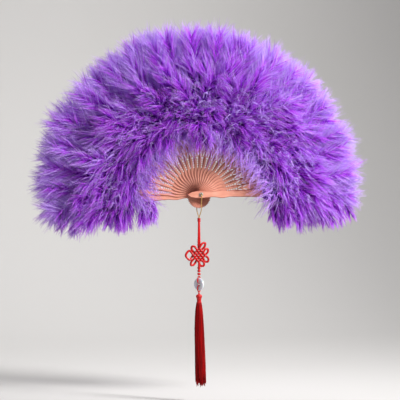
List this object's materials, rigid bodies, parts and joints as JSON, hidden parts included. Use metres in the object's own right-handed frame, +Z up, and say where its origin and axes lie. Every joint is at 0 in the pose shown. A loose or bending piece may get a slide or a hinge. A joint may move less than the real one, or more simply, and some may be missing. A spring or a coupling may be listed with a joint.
{
  "type": "feather folding fan",
  "caption": "Folding fan with pierced wooden sticks on a hollow rivet, a marabou plume on each stick, and a red knotted tassel pendant with a stone ring; folds about the rivet.",
  "frame": {"origin": "middle of the rivet's axis, where the hand holds the head of the fan", "axes": "+X to the right seen from the front, +Y to the back along the rivet, +Z up"},
  "size_m": [0.5045, 0.0788, 0.533],
  "materials": {
    "stick_wood": "satin",
    "marabou": "matte",
    "link_ribbon": "satin",
    "rivet_steel": "satin",
    "gold_cord": "satin",
    "red_cord": "satin",
    "tassel_silk": "satin",
    "jade": "polished"
  },
  "bodies": {
    "front_guard": {"front_guard": "stick_wood", "plume_front": "marabou", "link_ribbon": "link_ribbon", "pivot_eyelet": "rivet_steel", "pivot_washer": "rivet_steel"},
    "stick_01": {"stick_01": "stick_wood", "plume_01": "marabou"},
    "stick_02": {"stick_02": "stick_wood", "plume_02": "marabou"},
    "stick_03": {"stick_03": "stick_wood", "plume_03": "marabou"},
    "stick_04": {"stick_04": "stick_wood", "plume_04": "marabou"},
    "stick_05": {"stick_05": "stick_wood", "plume_05": "marabou"},
    "stick_06": {"stick_06": "stick_wood", "plume_06": "marabou"},
    "stick_07": {"stick_07": "stick_wood", "plume_07": "marabou"},
    "stick_08": {"stick_08": "stick_wood", "plume_08": "marabou"},
    "stick_09": {"stick_09": "stick_wood", "plume_09": "marabou"},
    "stick_10": {"stick_10": "stick_wood", "plume_10": "marabou"},
    "stick_11": {"stick_11": "stick_wood", "plume_11": "marabou"},
    "stick_12": {"stick_12": "stick_wood", "plume_12": "marabou"},
    "stick_13": {"stick_13": "stick_wood", "plume_13": "marabou"},
    "stick_14": {"stick_14": "stick_wood", "plume_14": "marabou"},
    "stick_15": {"stick_15": "stick_wood", "plume_15": "marabou"},
    "stick_16": {"stick_16": "stick_wood", "plume_16": "marabou"},
    "stick_17": {"stick_17": "stick_wood", "plume_17": "marabou"},
    "stick_18": {"stick_18": "stick_wood", "plume_18": "marabou"},
    "stick_19": {"stick_19": "stick_wood", "plume_19": "marabou"},
    "stick_20": {"stick_20": "stick_wood", "plume_20": "marabou"},
    "stick_21": {"stick_21": "stick_wood", "plume_21": "marabou"},
    "stick_22": {"stick_22": "stick_wood", "plume_22": "marabou"},
    "stick_23": {"stick_23": "stick_wood", "plume_23": "marabou"},
    "rear_guard": {"rear_guard": "stick_wood", "plume_rear": "marabou"},
    "hanging_loop": {"gold_loop": "gold_cord"},
    "knot": {"red_knot_cord": "red_cord"},
    "ring": {"ring_cord_upper": "red_cord", "jade_ring": "jade", "ring_cord_lower": "red_cord"},
    "tassel": {"tassel_head": "red_cord", "tassel_skirt": "tassel_silk"}
  },
  "joints": [
    {"name": "fold", "type": "hinge", "parent": "front_guard", "child": "rear_guard", "pos_m": [0, 0, 0], "axis": [0, 1, 0], "range_deg": [0, 182.4], "deforming": ["plume_rear", "plume_front", "link_ribbon"]},
    {"name": "stick_01_turn", "type": "hinge", "parent": "front_guard", "child": "stick_01", "pos_m": [0, 0, 0], "axis": [0, 1, 0], "range_deg": [0, 7.6], "deforming": ["plume_01"]},
    {"name": "stick_02_turn", "type": "hinge", "parent": "front_guard", "child": "stick_02", "pos_m": [0, 0, 0], "axis": [0, 1, 0], "range_deg": [0, 15.2], "deforming": ["plume_02"]},
    {"name": "stick_03_turn", "type": "hinge", "parent": "front_guard", "child": "stick_03", "pos_m": [0, 0, 0], "axis": [0, 1, 0], "range_deg": [0, 22.8], "deforming": ["plume_03"]},
    {"name": "stick_04_turn", "type": "hinge", "parent": "front_guard", "child": "stick_04", "pos_m": [0, 0, 0], "axis": [0, 1, 0], "range_deg": [0, 30.4], "deforming": ["plume_04"]},
    {"name": "stick_05_turn", "type": "hinge", "parent": "front_guard", "child": "stick_05", "pos_m": [0, 0, 0], "axis": [0, 1, 0], "range_deg": [0, 38], "deforming": ["plume_05"]},
    {"name": "stick_06_turn", "type": "hinge", "parent": "front_guard", "child": "stick_06", "pos_m": [0, 0, 0], "axis": [0, 1, 0], "range_deg": [0, 45.6], "deforming": ["plume_06"]},
    {"name": "stick_07_turn", "type": "hinge", "parent": "front_guard", "child": "stick_07", "pos_m": [0, 0, 0], "axis": [0, 1, 0], "range_deg": [0, 53.2], "deforming": ["plume_07"]},
    {"name": "stick_08_turn", "type": "hinge", "parent": "front_guard", "child": "stick_08", "pos_m": [0, 0, 0], "axis": [0, 1, 0], "range_deg": [0, 60.8], "deforming": ["plume_08"]},
    {"name": "stick_09_turn", "type": "hinge", "parent": "front_guard", "child": "stick_09", "pos_m": [0, 0, 0], "axis": [0, 1, 0], "range_deg": [0, 68.4], "deforming": ["plume_09"]},
    {"name": "stick_10_turn", "type": "hinge", "parent": "front_guard", "child": "stick_10", "pos_m": [0, 0, 0], "axis": [0, 1, 0], "range_deg": [0, 76], "deforming": ["plume_10"]},
    {"name": "stick_11_turn", "type": "hinge", "parent": "front_guard", "child": "stick_11", "pos_m": [0, 0, 0], "axis": [0, 1, 0], "range_deg": [0, 83.6], "deforming": ["plume_11"]},
    {"name": "stick_12_turn", "type": "hinge", "parent": "front_guard", "child": "stick_12", "pos_m": [0, 0, 0], "axis": [0, 1, 0], "range_deg": [0, 91.2], "deforming": ["plume_12"]},
    {"name": "stick_13_turn", "type": "hinge", "parent": "front_guard", "child": "stick_13", "pos_m": [0, 0, 0], "axis": [0, 1, 0], "range_deg": [0, 98.8], "deforming": ["plume_13"]},
    {"name": "stick_14_turn", "type": "hinge", "parent": "front_guard", "child": "stick_14", "pos_m": [0, 0, 0], "axis": [0, 1, 0], "range_deg": [0, 106.4], "deforming": ["plume_14"]},
    {"name": "stick_15_turn", "type": "hinge", "parent": "front_guard", "child": "stick_15", "pos_m": [0, 0, 0], "axis": [0, 1, 0], "range_deg": [0, 114], "deforming": ["plume_15"]},
    {"name": "stick_16_turn", "type": "hinge", "parent": "front_guard", "child": "stick_16", "pos_m": [0, 0, 0], "axis": [0, 1, 0], "range_deg": [0, 121.6], "deforming": ["plume_16"]},
    {"name": "stick_17_turn", "type": "hinge", "parent": "front_guard", "child": "stick_17", "pos_m": [0, 0, 0], "axis": [0, 1, 0], "range_deg": [0, 129.2], "deforming": ["plume_17"]},
    {"name": "stick_18_turn", "type": "hinge", "parent": "front_guard", "child": "stick_18", "pos_m": [0, 0, 0], "axis": [0, 1, 0], "range_deg": [0, 136.8], "deforming": ["plume_18"]},
    {"name": "stick_19_turn", "type": "hinge", "parent": "front_guard", "child": "stick_19", "pos_m": [0, 0, 0], "axis": [0, 1, 0], "range_deg": [0, 144.4], "deforming": ["plume_19"]},
    {"name": "stick_20_turn", "type": "hinge", "parent": "front_guard", "child": "stick_20", "pos_m": [0, 0, 0], "axis": [0, 1, 0], "range_deg": [0, 152], "deforming": ["plume_20"]},
    {"name": "stick_21_turn", "type": "hinge", "parent": "front_guard", "child": "stick_21", "pos_m": [0, 0, 0], "axis": [0, 1, 0], "range_deg": [0, 159.6], "deforming": ["plume_21"]},
    {"name": "stick_22_turn", "type": "hinge", "parent": "front_guard", "child": "stick_22", "pos_m": [0, 0, 0], "axis": [0, 1, 0], "range_deg": [0, 167.2], "deforming": ["plume_22"]},
    {"name": "stick_23_turn", "type": "hinge", "parent": "front_guard", "child": "stick_23", "pos_m": [0, 0, 0], "axis": [0, 1, 0], "range_deg": [0, 174.8], "deforming": ["plume_23"]},
    {"name": "loop_swing", "type": "hinge", "parent": "front_guard", "child": "hanging_loop", "pos_m": [0, 0, 0], "axis": [0, 1, 0], "range_deg": [-40, 40]},
    {"name": "knot_swing", "type": "hinge", "parent": "hanging_loop", "child": "knot", "pos_m": [0, 0, -0.038], "axis": [1, 0, 0], "range_deg": [-35, 35]},
    {"name": "ring_twist", "type": "hinge", "parent": "knot", "child": "ring", "pos_m": [0, 0, -0.122], "axis": [0, 0, 1], "range_deg": [-90, 90]},
    {"name": "tassel_swing", "type": "hinge", "parent": "ring", "child": "tassel", "pos_m": [0, 0, -0.1482], "axis": [1, 0, 0], "range_deg": [-30, 30]}
  ],
  "couplings": [
    {"joint": "stick_01_turn", "follows": "fold", "ratio": 0.041666},
    {"joint": "stick_02_turn", "follows": "fold", "ratio": 0.083333},
    {"joint": "stick_03_turn", "follows": "fold", "ratio": 0.125},
    {"joint": "stick_04_turn", "follows": "fold", "ratio": 0.16667},
    {"joint": "stick_05_turn", "follows": "fold", "ratio": 0.20833},
    {"joint": "stick_06_turn", "follows": "fold", "ratio": 0.25},
    {"joint": "stick_07_turn", "follows": "fold", "ratio": 0.29167},
    {"joint": "stick_08_turn", "follows": "fold", "ratio": 0.33333},
    {"joint": "stick_09_turn", "follows": "fold", "ratio": 0.375},
    {"joint": "stick_10_turn", "follows": "fold", "ratio": 0.41667},
    {"joint": "stick_11_turn", "follows": "fold", "ratio": 0.45833},
    {"joint": "stick_12_turn", "follows": "fold", "ratio": 0.5},
    {"joint": "stick_13_turn", "follows": "fold", "ratio": 0.54167},
    {"joint": "stick_14_turn", "follows": "fold", "ratio": 0.58333},
    {"joint": "stick_15_turn", "follows": "fold", "ratio": 0.625},
    {"joint": "stick_16_turn", "follows": "fold", "ratio": 0.66667},
    {"joint": "stick_17_turn", "follows": "fold", "ratio": 0.70833},
    {"joint": "stick_18_turn", "follows": "fold", "ratio": 0.75},
    {"joint": "stick_19_turn", "follows": "fold", "ratio": 0.79167},
    {"joint": "stick_20_turn", "follows": "fold", "ratio": 0.83333},
    {"joint": "stick_21_turn", "follows": "fold", "ratio": 0.875},
    {"joint": "stick_22_turn", "follows": "fold", "ratio": 0.91667},
    {"joint": "stick_23_turn", "follows": "fold", "ratio": 0.95833}
  ]
}
